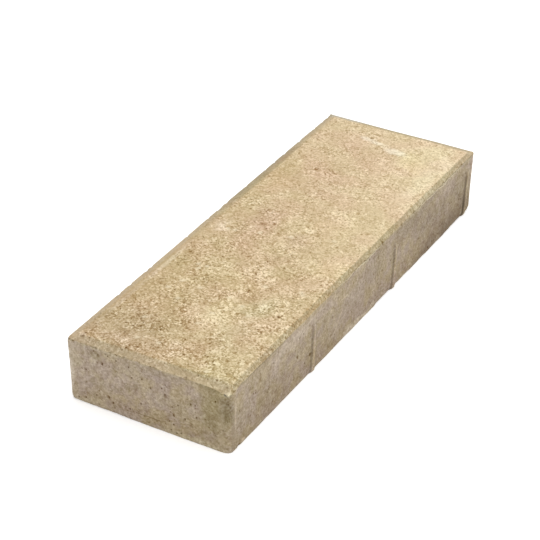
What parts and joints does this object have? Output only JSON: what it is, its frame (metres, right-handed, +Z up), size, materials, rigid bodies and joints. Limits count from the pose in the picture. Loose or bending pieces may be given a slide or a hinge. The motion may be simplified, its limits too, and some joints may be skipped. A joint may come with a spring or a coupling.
{
  "type": "concrete paver",
  "caption": "Long rectangular pressed-concrete paving unit with a sloped margin round its walking face and upright spacer ribs on both long sides.",
  "frame": {"origin": "middle of the bed face, which lies on the ground", "axes": "+Z up out of the walking face, +Y along the length, +X across the width"},
  "size_m": [0.1932, 0.56, 0.08],
  "materials": {
    "concrete": "pressed concrete, golden tan with cream specks on top, mauve-grey on the moulded sides"
  },
  "bodies": {
    "root": {"paver": "concrete"}
  },
  "joints": []
}
